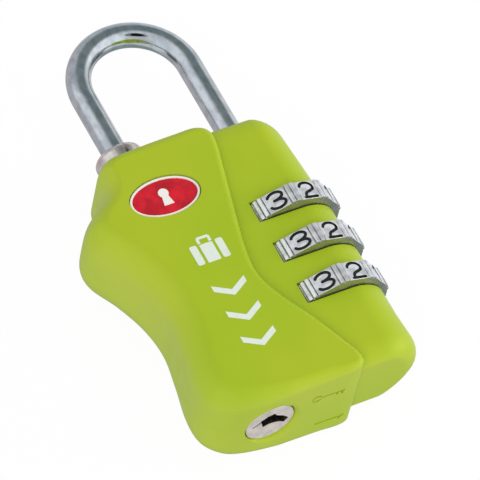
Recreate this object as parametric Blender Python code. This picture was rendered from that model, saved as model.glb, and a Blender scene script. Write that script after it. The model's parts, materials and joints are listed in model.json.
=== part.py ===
"""A small luggage padlock with three number dials and a key override, as separate pieces.

+Z is up, with the shackle on top. +X points to the dials, and the front face looks along -Y.
The origin is on the flat bottom end, midway between the shackle's legs, in the middle of the
thickness. Every size below is in millimetres. Blender's units are metres.
"""

import math

import bmesh
import bpy
from mathutils import Matrix, Vector

MM = 0.001

# Looks: colour, roughness and metallic
GREEN = ((0.34, 0.47, 0.02), 0.38, 0.0)
CHROME = ((0.72, 0.74, 0.76), 0.15, 1.0)
SILVER = ((0.66, 0.66, 0.67), 0.3, 0.9)
NICKEL = ((0.55, 0.52, 0.49), 0.3, 1.0)
STEEL = ((0.45, 0.46, 0.48), 0.4, 1.0)
BRASS = ((0.66, 0.50, 0.22), 0.35, 0.9)
RED = ((0.55, 0.01, 0.02), 0.25, 0.0)

FIT = 0.1  # radial clearance of a piece in its seat
THROUGH = 1.0  # how far a cutter runs out past the face that it opens

# Shackle and the two axes that it sets
LEG_X = 8.0  # half the distance between the two legs
WIRE_R = 1.75
ARCH_Z = 55.7  # centre of the arch
SHORT_TIP_Z = 43.1
TIP_CHAMFER = 0.5
NECK_TOP_Z = 33.0  # shoulder that the spindle butts against
NECK_R = 1.5
LONG_END_Z = 6.6
END_GROOVE_Z = (7.1, 7.9)
END_GROOVE_R = 1.1
END_CLIP = (1.2, 2.45, 70.0)  # bore radius, outer radius and mouth in degrees
END_CLIP_Z = (7.2, 7.8)

# Spring under the long leg
SPRING_FLOOR_Z = 2.5
SPRING_POCKET_R = 2.45
SPRING_WIRE_R = 0.28
SPRING_COIL_R = 1.7
SPRING_TURNS = 4.0

# Dials, stacked on the long leg
DIAL_PITCH = 6.88
DIAL_MID_Z = 20.56
DIAL_NAMES = ("top", "middle", "bottom")
DIGITS = 10
DIAL_HALF = 1.5
FACET_R = 7.45  # centre of a flat digit facet
FACET_HALF_DEG = 12.0
RIB_R = 7.8
RIB_DEG = (13.3, 17.3)  # where a rib starts and ends, from the middle of its facet
GROOVE_DEPTH = 0.3
SLOT_HALF = 1.68
SLOT_R = 8.02
TOOTH_DEPTH = 0.35
COUPLING_R = 4.55  # tooth tips of a sleeve
COUPLING_GAP = 0.12
SLEEVE_HALF = 1.55
SLEEVE_BORE_R = 2.7
GATE_R = 4.05
GATE_HALF_WIDTH = 1.0

# Spindle: a tube with one fin under each sleeve
SPINDLE_R = 2.5
SPINDLE_BORE_R = 1.6
SPINDLE_BOTTOM_Z = 8.1
FIN_R = 3.9
FIN_HALF_WIDTH = 0.8
FIN_HALF_HEIGHT = 1.0
SPINDLE_WELL_R = 4.2
SPINDLE_WELL_Z = (6.2, 33.4)
GUIDE_R = SPINDLE_R + 0.15  # above the well, where only the tube rises
GUIDE_TOP_Z = 40.3

# Strip behind the dials, with one bent finger each
STRIP_LOW = (-2.1, -2.4, 9.0)
STRIP_HIGH = (-1.8, 2.4, 32.2)
FINGER_BEND = ((-2.0, 2.4), (-0.2, 0.5), (0.08, 0.0), (-0.2, -0.7))  # x, and z above the dial's middle
FINGER_THICKNESS = 0.25
FINGER_HALF_WIDTH = 0.9
STRIP_POCKET_LOW = (-2.3, -3.0, 8.6)
STRIP_POCKET_HIGH = (0.7, 3.0, 32.6)

# Key core on the short leg's axis
PLUG_R = 3.5
PLUG_FACE_Z = 0.45
PLUG_FACE_CHAMFER = 0.2
PLUG_TOP_Z = 21.0
PLUG_WELL_R = 3.6
PLUG_GROOVE_R = 2.85
PLUG_GROOVE_Z = (19.2, 20.0)
PLUG_CLIP = (2.95, 4.0, 80.0)  # bore radius, outer radius and mouth in degrees
PLUG_CLIP_Z = (19.35, 19.85)
CLIP_SEAT_R = 4.2
CLIP_SEAT_Z = (19.0, 20.3)
HOLE_LIP = ((3.74, 0.45), (4.05, 0.14), (4.5, 0.0))  # soft edge of the key hole, as radius and z
KEYWAY_WIDTH = 4.2
KEYWAY_HEIGHT = 1.8
KEYWAY_TURN_DEG = 15.0
KEYWAY_TOP_Z = 16.0
WAFER_COUNT = 4
WAFER_FIRST_Z = 4.4
WAFER_PITCH = 2.6
WAFER_LENGTH = 6.0
WAFER_DEPTH = 3.2
WAFER_THICKNESS = 0.6
WINDOW_MARGIN = 0.15  # of a wafer's window round the keyway
BAR_WIDTH = 3.0
BAR_THICKNESS = 1.0
BAR_BOTTOM_Z = 18.6
BAR_TOP_Z = 38.2
BAR_WELL_R = 2.1
BAR_END_GAP = 0.2
COLLAR_R = 3.4
COLLAR_BOTTOM_Z = 36.0
COLLAR_SOCKET_R = 1.95
COLLAR_FLOOR_Z = 42.75
COLLAR_TOP_Z = 45.9
COLLAR_CROWN = ((0.7, 0.0), (0.4, 0.15), (0.15, 0.6), (0.0, 1.4))  # in from the side, down from the top
SLIT_WIDTH = 0.5
SLIT_TURN_DEG = -84.0
SLIT_FLOOR_Z = 43.2

# Housing: a thick lobe with the key core and a thinner lobe with the dials
LOBE_HALF = 7.4
LOBE_TOP_Z = 42.5
NOSE_HALF = 5.9
NOSE_BOTTOM_Z = 0.9
NOSE_TOP_Z = 42.0
NOSE_ROOT_X = -3.0  # inside the thick lobe
NOSE_BEND_X = 9.0  # where the flat face turns into the rounded nose
NOSE_POWER_FRONT = 1.95  # of the superellipse that rounds the nose
NOSE_POWER_BACK = 1.6
NOSE_CORNER = 3.2  # of the tip, at the two ends
NOSE_FRONT_FILLET = 1.7
SHELL_GAP = 0.05  # half the gap between the two shells
INWARD_EASE = 1.5  # knots on each side that the direction of the edge rounding is eased over
BADGE_CENTRE = (-7.9, 33.4)
BADGE_SEMI = (5.0, 3.0)
BADGE_FRONT = 0.35  # its face and its back, under the front face
BADGE_DEPTH = 0.75

# The thick lobe seen from the front, as knots joined by a smooth curve. Each knot is its x and z,
# how far the edge rounding reaches in from the outline, and how far it reaches back from the face.
LOBE_KNOTS = (
    (-11.6, 42.4, 1.8, 3.0),
    (-13.5, 41.4, 2.0, 4.0),
    (-13.95, 40.0, 2.2, 5.0),
    (-14.3, 38.5, 2.4, 5.5),
    (-15.2, 37.3, 2.6, 5.8),
    (-16.8, 36.2, 2.8, 5.8),
    (-18.45, 34.8, 2.9, 5.8),
    (-19.5, 33.0, 3.0, 5.8),
    (-19.2, 30.5, 3.2, 5.5),
    (-17.2, 26.7, 3.4, 5.0),
    (-15.45, 22.2, 3.5, 4.5),
    (-14.85, 17.4, 3.5, 4.5),
    (-15.55, 12.2, 3.5, 4.2),
    (-16.45, 7.2, 3.4, 4.0),
    (-16.1, 3.7, 3.1, 3.8),
    (-13.95, 1.25, 2.9, 3.4),
    (-11.0, 0.35, 2.4, 2.7),
    (-6.5, 0.0, 1.8, 1.9),
    (-4.0, 0.0, 1.6, 1.7),
    (0.0, 0.0, 1.5, 1.5),
    (3.1, 0.0, 1.0, 1.2),
    (4.75, 0.6, 0.9, 0.9),
    (4.95, 2.3, 0.9, 0.9),
    (3.9, 5.0, 1.0, 1.0),
    (2.1, 9.2, 1.0, 1.0),
    (-0.2, 13.6, 1.0, 1.0),
    (-1.75, 18.0, 1.0, 1.0),
    (-1.3, 22.8, 1.0, 1.0),
    (0.2, 28.9, 1.0, 1.0),
    (1.6, 34.4, 1.0, 1.0),
    (2.7, 39.0, 1.0, 1.0),
    (2.6, 41.2, 1.2, 1.2),
    (1.0, 42.4, 1.5, 1.5),
    (-2.0, 42.5, 1.6, 1.6),
    (-7.0, 42.5, 1.7, 2.0),
)
# How far the nose reaches, as (z, x) knots
NOSE_KNOTS = ((0.9, 15.3), (8.0, 14.85), (17.0, 14.85), (26.0, 14.6), (34.0, 14.05), (42.0, 13.45))

PIN_PLACES = ((-14.4, 35.6), (-13.4, 6.0), (1.4, 37.2), (1.6, 3.6))
PIN_R = 0.8
PIN_HALF_LENGTH = 4.6
PIN_GAP = 0.06
PIN_END_GAP = 0.2

# Segments around round pieces
FINE = 32
COARSE = 20
PIN_SIDES = 12
SPRING_SIDES = 6


def clear_scene():
    for old in list(bpy.data.objects):
        bpy.data.objects.remove(old, do_unlink=True)


def material(name, colour, roughness, metallic):
    made = bpy.data.materials.new(name)
    made.use_nodes = True
    shader = made.node_tree.nodes["Principled BSDF"]
    shader.inputs["Base Color"].default_value = (*colour, 1.0)
    shader.inputs["Roughness"].default_value = roughness
    shader.inputs["Metallic"].default_value = metallic
    made.diffuse_color = (*colour, 1.0)
    return made


def place(name, bm, at=(0, 0, 0), parent=None, look=None, smooth_deg=35):
    """Make an object of a bmesh whose points are in millimetres about the place at."""
    bmesh.ops.recalc_face_normals(bm, faces=bm.faces)
    bmesh.ops.scale(bm, vec=(MM, MM, MM), verts=bm.verts)
    mesh = bpy.data.meshes.new(name)
    bm.to_mesh(mesh)
    bm.free()
    mesh.shade_smooth()
    mesh.set_sharp_from_angle(angle=math.radians(smooth_deg))
    obj = bpy.data.objects.new(name, mesh)
    bpy.context.collection.objects.link(obj)
    obj.location = Vector(at) * MM
    if parent:
        obj.parent = parent
    if look:
        mesh.materials.append(material(name, *look))
    return obj


def axis_empty(name, x, z=0.0):
    """An empty on a vertical axis, which the pieces that move about or along it hang from."""
    empty = bpy.data.objects.new(name, None)
    empty.location = Vector((x, 0.0, z)) * MM
    bpy.context.collection.objects.link(empty)
    return empty


def guide(obj):
    """Keep a cutter or an added shape out of the finished model."""
    obj.hide_render = True
    obj.display_type = "WIRE"
    return obj


def boolean(obj, other, operation="DIFFERENCE"):
    modifier = obj.modifiers.new(other.name, "BOOLEAN")
    modifier.operation = operation
    modifier.solver = "EXACT"
    modifier.object = guide(other)


def loft(rings):
    """A closed solid through rings of equally many points, with a flat face at each end."""
    bm = bmesh.new()
    rows = [[bm.verts.new(p) for p in ring] for ring in rings]
    for low, high in zip(rows, rows[1:]):
        for i, point in enumerate(low):
            after = (i + 1) % len(low)
            bm.faces.new((point, low[after], high[after], high[i]))
    bm.faces.new(rows[0])
    bm.faces.new(rows[-1])
    return bm


def prism(profile, low, high):
    """A profile of (x, y) points, extruded along Z by Blender's own operator."""
    bm = bmesh.new()
    face = bm.faces.new([bm.verts.new((x, y, low)) for x, y in profile])
    made = bmesh.ops.extrude_face_region(bm, geom=[face])
    top = [v for v in made["geom"] if isinstance(v, bmesh.types.BMVert)]
    bmesh.ops.translate(bm, vec=(0, 0, high - low), verts=top)
    return bm


def box(low, high):
    bm = bmesh.new()
    bmesh.ops.create_cube(bm, size=1.0)
    size = Vector(high) - Vector(low)
    middle = (Vector(high) + Vector(low)) / 2
    bmesh.ops.scale(bm, vec=size, verts=bm.verts)
    bmesh.ops.translate(bm, vec=middle, verts=bm.verts)
    return bm


def turned(steps, sides=FINE):
    """A solid of revolution about Z through (radius, z) steps."""
    return loft([circle(radius, z, sides) for radius, z in steps])


def circle(radius, z, sides=FINE):
    turns = [2 * math.pi * i / sides for i in range(sides)]
    return [(radius * math.cos(a), radius * math.sin(a), z) for a in turns]


def arc(radius, start_deg, end_deg, steps):
    angles = [math.radians(start_deg + (end_deg - start_deg) * i / steps) for i in range(steps + 1)]
    return [(radius * math.cos(a), radius * math.sin(a)) for a in angles]


def clip_profile(inner, outer, mouth_deg):
    """A ring with a mouth on its +X side."""
    half = mouth_deg / 2
    return arc(outer, half, 360 - half, COARSE) + arc(inner, 360 - half, half, COARSE)


def toothed(radius, depth):
    """Ten rounded teeth about Z, as the dials and their sleeves are coupled by."""
    count = DIGITS * 4
    angles = [2 * math.pi * i / count for i in range(count)]
    reach = [radius if i % 4 < 2 else radius - depth for i in range(count)]
    return [(r * math.cos(a), r * math.sin(a)) for r, a in zip(reach, angles)]


def curve_through(knots, steps):
    """A closed Catmull-Rom curve through knots of any number of values."""
    points = []
    count = len(knots)
    for i in range(count):
        a, b, c, d = (Vector(knots[(i + n) % count]) for n in (-1, 0, 1, 2))
        for step in range(steps):
            t = step / steps
            cubic = (3 * b - a - 3 * c + d) * t**3
            points.append(0.5 * (2 * b + (c - a) * t + (2 * a - 5 * b + 4 * c - d) * t * t + cubic))
    return points


def between(knots, at):
    """A value from (place, value) knots joined by straight lines."""
    for (low, value), (high, after) in zip(knots, knots[1:]):
        if at <= high:
            return value + (after - value) * (at - low) / (high - low)
    return knots[-1][1]


def inward_ways(outline, steps):
    """Which way is in from each point, eased over the neighbouring knots so that corners don't fold."""
    count = len(outline)
    along = [(outline[(i + 1) % count] - outline[i - 1]).xy.normalized() for i in range(count)]
    reach = round(INWARD_EASE * steps)
    ways = []
    for i in range(count):
        eased = sum((along[(i + n) % count] for n in range(-reach, reach + 1)), Vector((0, 0)))
        ways.append(Vector((-eased.y, eased.x)).normalized())
    return ways


def lobe_rings(side, steps=2, turns=4):
    """Rings of one half of the thick lobe, from the middle plane to its flat face."""
    outline = curve_through(LOBE_KNOTS, steps)
    inward = inward_ways(outline, steps)
    rings = [[(p.x, side * SHELL_GAP, p.y) for p in outline]]
    for turn in range(turns + 1):
        angle = math.pi / 2 * turn / turns
        ring = []
        for p, way in zip(outline, inward):
            inset = p.z * (1 - math.cos(angle))
            y = LOBE_HALF - p.w * (1 - math.sin(angle))
            ring.append((p.x + way.x * inset, side * y, p.y + way.y * inset))
        rings.append(ring)
    return rings


def nose_section(tip_x, half, side, z, steps=10):
    """One half of the thin lobe cut at a height: a flat face, then a superellipse to the tip."""
    power = NOSE_POWER_FRONT if side < 0 else NOSE_POWER_BACK
    section = [(NOSE_ROOT_X, side * SHELL_GAP, z), (NOSE_ROOT_X, side * half, z)]
    for step in range(steps + 1):
        angle = math.pi / 2 * step / steps
        x = NOSE_BEND_X + (tip_x - NOSE_BEND_X) * math.sin(angle) ** (2 / power)
        y = half * abs(math.cos(angle)) ** (2 / power)
        section.append((x, side * max(y, SHELL_GAP), z))
    return section


def nose_rings(side, turns=4):
    """Sections of the thin lobe from the bottom end to the top, drawn in at both ends."""
    rings = []
    for turn in range(turns + 1):
        angle = math.pi / 2 * turn / turns
        drawn = 1 - math.sin(angle)
        z = NOSE_BOTTOM_Z + NOSE_CORNER * (1 - math.cos(angle))
        rings.append((z, NOSE_CORNER * drawn, NOSE_FRONT_FILLET * drawn))
    rings += [(z, 0.0, 0.0) for z, _ in NOSE_KNOTS[1:-1]]
    for turn in range(turns + 1):
        angle = math.pi / 2 * turn / turns
        drawn = 1 - math.cos(angle)
        z = NOSE_TOP_Z - NOSE_CORNER * (1 - math.sin(angle))
        rings.append((z, NOSE_CORNER * drawn, NOSE_FRONT_FILLET * drawn))
    return [nose_section(between(NOSE_KNOTS, z) - tip, NOSE_HALF - flat, side, z) for z, tip, flat in rings]


def along_y(bm):
    """Turn a shape made along Z so that it lies along Y."""
    bmesh.ops.rotate(bm, matrix=Matrix.Rotation(math.pi / 2, 3, "X"), verts=bm.verts)
    return bm


def turned_about_z(bm, degrees):
    bmesh.ops.rotate(bm, matrix=Matrix.Rotation(math.radians(degrees), 3, "Z"), verts=bm.verts)
    return bm


def shell_cutters():
    """The hollows that both shells share."""
    dial_axis, core_axis = (LEG_X, 0, 0), (-LEG_X, 0, 0)
    cutters = []
    for name, z in zip(DIAL_NAMES, dial_heights()):
        slot = turned([(SLOT_R, z + SLOT_HALF), (SLOT_R, z - SLOT_HALF)], 2 * FINE)
        cutters.append(place(f"slot_{name}", slot, dial_axis))
    well = [
        (WIRE_R + FIT, NOSE_TOP_Z + THROUGH),
        (WIRE_R + FIT, GUIDE_TOP_Z),
        (GUIDE_R, GUIDE_TOP_Z),
        (GUIDE_R, SPINDLE_WELL_Z[1]),
        (SPINDLE_WELL_R, SPINDLE_WELL_Z[1]),
        (SPINDLE_WELL_R, SPINDLE_WELL_Z[0]),
        (SPRING_POCKET_R, SPINDLE_WELL_Z[0]),
        (SPRING_POCKET_R, SPRING_FLOOR_Z),
    ]
    cutters.append(place("spindle_well", turned(well), dial_axis))
    core = [
        (COLLAR_R + FIT, LOBE_TOP_Z + THROUGH),
        (COLLAR_R + FIT, COLLAR_BOTTOM_Z - BAR_END_GAP),
        (BAR_WELL_R, COLLAR_BOTTOM_Z - BAR_END_GAP),
        (BAR_WELL_R, PLUG_TOP_Z + BAR_END_GAP),
        (PLUG_WELL_R, PLUG_TOP_Z + BAR_END_GAP),
        (PLUG_WELL_R, CLIP_SEAT_Z[1]),
        (CLIP_SEAT_R, CLIP_SEAT_Z[1]),
        (CLIP_SEAT_R, CLIP_SEAT_Z[0]),
        (PLUG_WELL_R, CLIP_SEAT_Z[0]),
        (PLUG_WELL_R, 2 * PLUG_FACE_Z),
    ]
    core += [*HOLE_LIP, (HOLE_LIP[-1][0], -THROUGH)]
    cutters.append(place("core_well", turned(core), core_axis))
    cutters.append(place("detent_pocket", box(STRIP_POCKET_LOW, STRIP_POCKET_HIGH)))
    for number, (x, z) in enumerate(PIN_PLACES, 1):
        reach = PIN_HALF_LENGTH + PIN_END_GAP
        hole = turned([(PIN_R + PIN_GAP, reach), (PIN_R + PIN_GAP, -reach)], PIN_SIDES)
        cutters.append(place(f"pin_hole_{number}", along_y(hole), (x, 0, z)))
    return cutters


def ellipse_prism(semi, low_y, high_y, sides=2 * COARSE):
    """A flat oval that lies against the front face, with its thickness along Y."""
    turns = [2 * math.pi * i / sides for i in range(sides)]
    rim = [(semi[0] * math.cos(a), semi[1] * math.sin(a)) for a in turns]
    return loft([[(x, y, z) for x, z in rim] for y in (low_y, high_y)])


def build_shells():
    cutters = shell_cutters()
    semi = [s + FIT for s in BADGE_SEMI]
    recess = ellipse_prism(semi, -LOBE_HALF - THROUGH, -LOBE_HALF + BADGE_DEPTH + FIT)
    badge_recess = place("badge_recess", recess, (BADGE_CENTRE[0], 0, BADGE_CENTRE[1]))
    for name, side in (("front_shell", -1), ("back_shell", 1)):
        shell = place(name, loft(lobe_rings(side)), look=GREEN)
        nose = place(f"{name}_nose", loft(nose_rings(side)))
        boolean(shell, nose, "UNION")
        for cutter in cutters:
            boolean(shell, cutter)
        if side < 0:
            boolean(shell, badge_recess)


def dial_heights():
    return [DIAL_MID_Z + DIAL_PITCH * row for row in (1, 0, -1)]


def dial_profile():
    """Ten flat facets, with two ribs and the grooves around them between neighbours."""
    groove_r = FACET_R - GROOVE_DEPTH
    edge_r = FACET_R / math.cos(math.radians(FACET_HALF_DEG)) - 0.08  # the facet's edges are broken
    start, end = RIB_DEG
    half = [
        (FACET_HALF_DEG, edge_r),
        (FACET_HALF_DEG + 0.5, groove_r),
        (start - 0.3, groove_r),
        (start, RIB_R),
        (end, RIB_R),
        (end + 0.3, groove_r),
    ]
    pitch = 360 / DIGITS
    sector = half + [(pitch - angle, radius) for angle, radius in reversed(half)]
    points = []
    for digit in range(DIGITS):
        for angle, radius in sector:
            turn = math.radians(pitch * digit + angle)
            points.append((radius * math.cos(turn), radius * math.sin(turn)))
    return points


def build_dials():
    for name, z in zip(DIAL_NAMES, dial_heights()):
        axis = axis_empty(f"dial_axis_{name}", LEG_X, z)
        wheel = prism(dial_profile(), -DIAL_HALF, DIAL_HALF)
        dial = place(f"dial_{name}", wheel, parent=axis, look=SILVER)
        bore = toothed(COUPLING_R + COUPLING_GAP, TOOTH_DEPTH)
        bore = prism(bore, -DIAL_HALF - THROUGH, DIAL_HALF + THROUGH)
        boolean(dial, place(f"dial_bore_{name}", bore, parent=axis))
        build_sleeve(name, axis)


def build_sleeve(name, axis):
    """A toothed sleeve inside a dial, with the gate that its fin passes through."""
    body = prism(toothed(COUPLING_R, TOOTH_DEPTH), -SLEEVE_HALF, SLEEVE_HALF)
    sleeve = place(f"sleeve_{name}", body, parent=axis, look=BRASS)
    reach = SLEEVE_HALF + THROUGH
    hole = turned([(SLEEVE_BORE_R, reach), (SLEEVE_BORE_R, -reach)])
    boolean(sleeve, place(f"sleeve_bore_{name}", hole, parent=axis))
    gate = box((0.0, -GATE_HALF_WIDTH, -reach), (GATE_R, GATE_HALF_WIDTH, reach))
    boolean(sleeve, place(f"gate_{name}", gate, parent=axis))


def shackle_rings(sides=COARSE, steps=20):
    """Rings along the wire: up the short leg, over the arch, down the long leg and its neck."""
    stations = [
        (Vector((-LEG_X, 0, SHORT_TIP_Z)), 0.0, WIRE_R - TIP_CHAMFER),
        (Vector((-LEG_X, 0, SHORT_TIP_Z + TIP_CHAMFER)), 0.0, WIRE_R),
    ]
    for step in range(steps + 1):
        turn = math.pi * step / steps
        centre = Vector((-LEG_X * math.cos(turn), 0, ARCH_Z + LEG_X * math.sin(turn)))
        stations.append((centre, turn, WIRE_R))
    neck = (
        (NECK_TOP_Z, WIRE_R),
        (NECK_TOP_Z, NECK_R),
        (END_GROOVE_Z[1], NECK_R),
        (END_GROOVE_Z[1], END_GROOVE_R),
        (END_GROOVE_Z[0], END_GROOVE_R),
        (END_GROOVE_Z[0], NECK_R),
        (LONG_END_Z, NECK_R),
    )
    stations += [(Vector((LEG_X, 0, z)), math.pi, radius) for z, radius in neck]
    rings = []
    for centre, turn, radius in stations:
        outward = Vector((-math.cos(turn), 0, math.sin(turn)))
        arms = [2 * math.pi * i / sides for i in range(sides)]
        rings.append(
            [centre + radius * (math.cos(a) * outward + math.sin(a) * Vector((0, 1, 0))) for a in arms]
        )
    return [[p - Vector((LEG_X, 0, 0)) for p in ring] for ring in rings]


def build_shackle():
    axis = axis_empty("shackle_axis", LEG_X)
    place("shackle", loft(shackle_rings()), parent=axis, look=CHROME)
    tube = turned([(SPINDLE_R, NECK_TOP_Z - FIT), (SPINDLE_R, SPINDLE_BOTTOM_Z)])
    spindle = place("gate_spindle", tube, parent=axis, look=STEEL)
    for name, z in zip(DIAL_NAMES, dial_heights()):
        middle = z - DIAL_PITCH / 2
        low = (0.0, -FIN_HALF_WIDTH, middle - FIN_HALF_HEIGHT)
        high = (FIN_R, FIN_HALF_WIDTH, middle + FIN_HALF_HEIGHT)
        boolean(spindle, place(f"fin_{name}", box(low, high), parent=axis), "UNION")
    ends = ((SPINDLE_BORE_R, NECK_TOP_Z + THROUGH), (SPINDLE_BORE_R, SPINDLE_BOTTOM_Z - THROUGH))
    boolean(spindle, place("spindle_bore", turned(ends, COARSE), parent=axis))
    place("shackle_clip", prism(clip_profile(*END_CLIP), *END_CLIP_Z), parent=axis, look=STEEL)


def build_shackle_spring(steps=12):
    """A compression spring under the long leg."""
    low, high = SPRING_FLOOR_Z + FIT + SPRING_WIRE_R, LONG_END_Z - FIT - SPRING_WIRE_R
    count = int(SPRING_TURNS * steps)
    rings = []
    for i in range(count + 1):
        angle = 2 * math.pi * SPRING_TURNS * i / count
        out = Vector((math.cos(angle), math.sin(angle), 0))
        centre = out * SPRING_COIL_R + Vector((0, 0, low + (high - low) * i / count))
        arms = [2 * math.pi * k / SPRING_SIDES for k in range(SPRING_SIDES)]
        rings.append(
            [centre + SPRING_WIRE_R * (math.cos(a) * out + math.sin(a) * Vector((0, 0, 1))) for a in arms]
        )
    place("shackle_spring", loft(rings), (LEG_X, 0, 0), look=STEEL)


def build_detent_spring():
    """A strip behind the dials with one bent finger for each, which clicks into its facets."""
    strip = place("detent_spring", box(STRIP_LOW, STRIP_HIGH), look=STEEL)
    for name, z in zip(DIAL_NAMES, dial_heights()):
        outer = [(x, z + dz) for x, dz in FINGER_BEND]
        inner = [(x - FINGER_THICKNESS, z + dz - FIT) for x, dz in reversed(FINGER_BEND)]
        sides = (-FINGER_HALF_WIDTH, FINGER_HALF_WIDTH)
        finger = loft([[(x, y, height) for x, height in outer + inner] for y in sides])
        boolean(strip, place(f"finger_{name}", finger), "UNION")


def block(long, deep, low_z, high_z):
    """A box about the Z axis, from its length along X and its depth along Y."""
    return box((-long / 2, -deep / 2, low_z), (long / 2, deep / 2, high_z))


def build_collar(axis):
    """A slit ring with a round crown, which holds the tip of the short leg."""
    head = [(COLLAR_R - inset, COLLAR_TOP_Z - drop) for inset, drop in COLLAR_CROWN]
    body = turned(head + [(COLLAR_R, COLLAR_BOTTOM_Z)])
    collar = place("release_collar", body, parent=axis, look=NICKEL)
    out_z = COLLAR_TOP_Z + THROUGH
    socket = turned([(COLLAR_SOCKET_R, out_z), (COLLAR_SOCKET_R, COLLAR_FLOOR_Z)])
    boolean(collar, place("collar_socket", socket, parent=axis))
    low = (COLLAR_SOCKET_R - 3 * FIT, -SLIT_WIDTH / 2, SLIT_FLOOR_Z)
    slit = turned_about_z(box(low, (COLLAR_R + THROUGH, SLIT_WIDTH / 2, out_z)), SLIT_TURN_DEG)
    boolean(collar, place("collar_slit", slit, parent=axis))
    bottom, top = COLLAR_BOTTOM_Z - THROUGH, BAR_TOP_Z + BAR_END_GAP
    slot = block(BAR_WIDTH + 2 * FIT, BAR_THICKNESS + 2 * FIT, bottom, top)
    boolean(collar, place("collar_slot", slot, parent=axis))


def build_plug(axis):
    steps = [
        (PLUG_R, PLUG_TOP_Z),
        (PLUG_R, PLUG_GROOVE_Z[1]),
        (PLUG_GROOVE_R, PLUG_GROOVE_Z[1]),
        (PLUG_GROOVE_R, PLUG_GROOVE_Z[0]),
        (PLUG_R, PLUG_GROOVE_Z[0]),
        (PLUG_R, PLUG_FACE_Z + PLUG_FACE_CHAMFER),
        (PLUG_R - PLUG_FACE_CHAMFER, PLUG_FACE_Z),
    ]
    plug = place("key_plug", turned(steps), parent=axis, look=NICKEL)
    keyway = block(KEYWAY_WIDTH, KEYWAY_HEIGHT, -THROUGH, KEYWAY_TOP_Z)
    boolean(plug, place("keyway", turned_about_z(keyway, KEYWAY_TURN_DEG), parent=axis))
    top = PLUG_TOP_Z + THROUGH
    slot = block(BAR_WIDTH + 2 * FIT, BAR_THICKNESS + 2 * FIT, BAR_BOTTOM_Z - BAR_END_GAP, top)
    boolean(plug, place("plug_slot", slot, parent=axis))
    for number in range(1, WAFER_COUNT + 1):
        z = WAFER_FIRST_Z + WAFER_PITCH * (number - 1)
        high = WAFER_THICKNESS / 2 + FIT
        cut = block(2 * (PLUG_R + THROUGH), WAFER_DEPTH + 2 * FIT, z - high, z + high)
        boolean(plug, place(f"wafer_slot_{number}", turned_about_z(cut, KEYWAY_TURN_DEG), parent=axis))
        build_wafer(number, z, axis)


def build_wafer(number, z, axis):
    """A flat plate across the plug, with a window for the key."""
    half = WAFER_THICKNESS / 2
    plate = block(WAFER_LENGTH, WAFER_DEPTH, z - half, z + half)
    wafer = place(f"wafer_{number}", turned_about_z(plate, KEYWAY_TURN_DEG), parent=axis, look=BRASS)
    wide, deep = KEYWAY_WIDTH + 2 * WINDOW_MARGIN, KEYWAY_HEIGHT + 2 * WINDOW_MARGIN
    window = turned_about_z(block(wide, deep, z - THROUGH, z + THROUGH), KEYWAY_TURN_DEG)
    boolean(wafer, place(f"wafer_window_{number}", window, parent=axis))


def build_key_core():
    """All that turns with the key."""
    axis = axis_empty("key_axis", -LEG_X)
    build_collar(axis)
    build_plug(axis)
    place("plug_clip", prism(clip_profile(*PLUG_CLIP), *PLUG_CLIP_Z), parent=axis, look=STEEL)
    bar = block(BAR_WIDTH, BAR_THICKNESS, BAR_BOTTOM_Z, BAR_TOP_Z)
    place("drive_bar", bar, parent=axis, look=STEEL)


def build_badge():
    badge = ellipse_prism(BADGE_SEMI, -LOBE_HALF + BADGE_FRONT, -LOBE_HALF + BADGE_DEPTH)
    place("badge", badge, (BADGE_CENTRE[0], 0, BADGE_CENTRE[1]), look=RED)


def build_pins():
    for number, (x, z) in enumerate(PIN_PLACES, 1):
        pin = turned([(PIN_R, PIN_HALF_LENGTH), (PIN_R, -PIN_HALF_LENGTH)], PIN_SIDES)
        place(f"shell_pin_{number}", along_y(pin), (x, 0, z), look=STEEL)


clear_scene()
build_shells()
build_badge()
build_pins()
build_shackle()
build_shackle_spring()
build_dials()
build_detent_spring()
build_key_core()
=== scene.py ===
"""The looks of a small luggage combination padlock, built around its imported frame.

Sizes are in millimetres and become metres when a mesh is made. +Z runs up the shackle's legs, +X
points to the dials and the front face looks along -Y, as in the frame.
"""

import json
import math

import bmesh
import bpy
from mathutils import Matrix, Vector


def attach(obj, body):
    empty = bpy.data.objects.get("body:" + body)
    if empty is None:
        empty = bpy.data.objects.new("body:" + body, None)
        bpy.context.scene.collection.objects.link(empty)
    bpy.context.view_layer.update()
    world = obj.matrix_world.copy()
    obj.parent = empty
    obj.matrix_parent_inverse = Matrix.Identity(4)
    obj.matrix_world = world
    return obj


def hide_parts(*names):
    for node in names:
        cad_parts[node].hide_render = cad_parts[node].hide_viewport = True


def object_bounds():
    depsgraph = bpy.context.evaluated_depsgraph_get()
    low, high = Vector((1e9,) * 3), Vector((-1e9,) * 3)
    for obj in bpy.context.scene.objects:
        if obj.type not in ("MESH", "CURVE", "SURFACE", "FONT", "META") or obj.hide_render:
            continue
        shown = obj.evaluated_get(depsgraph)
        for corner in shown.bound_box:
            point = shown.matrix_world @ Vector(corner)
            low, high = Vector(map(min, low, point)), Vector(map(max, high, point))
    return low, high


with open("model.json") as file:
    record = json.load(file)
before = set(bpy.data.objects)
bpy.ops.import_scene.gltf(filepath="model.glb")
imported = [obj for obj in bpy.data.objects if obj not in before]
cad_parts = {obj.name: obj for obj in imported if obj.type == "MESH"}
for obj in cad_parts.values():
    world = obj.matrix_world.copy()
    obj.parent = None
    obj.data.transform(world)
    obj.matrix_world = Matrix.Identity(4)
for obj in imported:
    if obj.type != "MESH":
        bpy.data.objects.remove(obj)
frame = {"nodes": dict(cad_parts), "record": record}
cad_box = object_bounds()

MM = 0.001

THROUGH = 1.0  # how far a cutter runs out past the face that it opens

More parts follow.
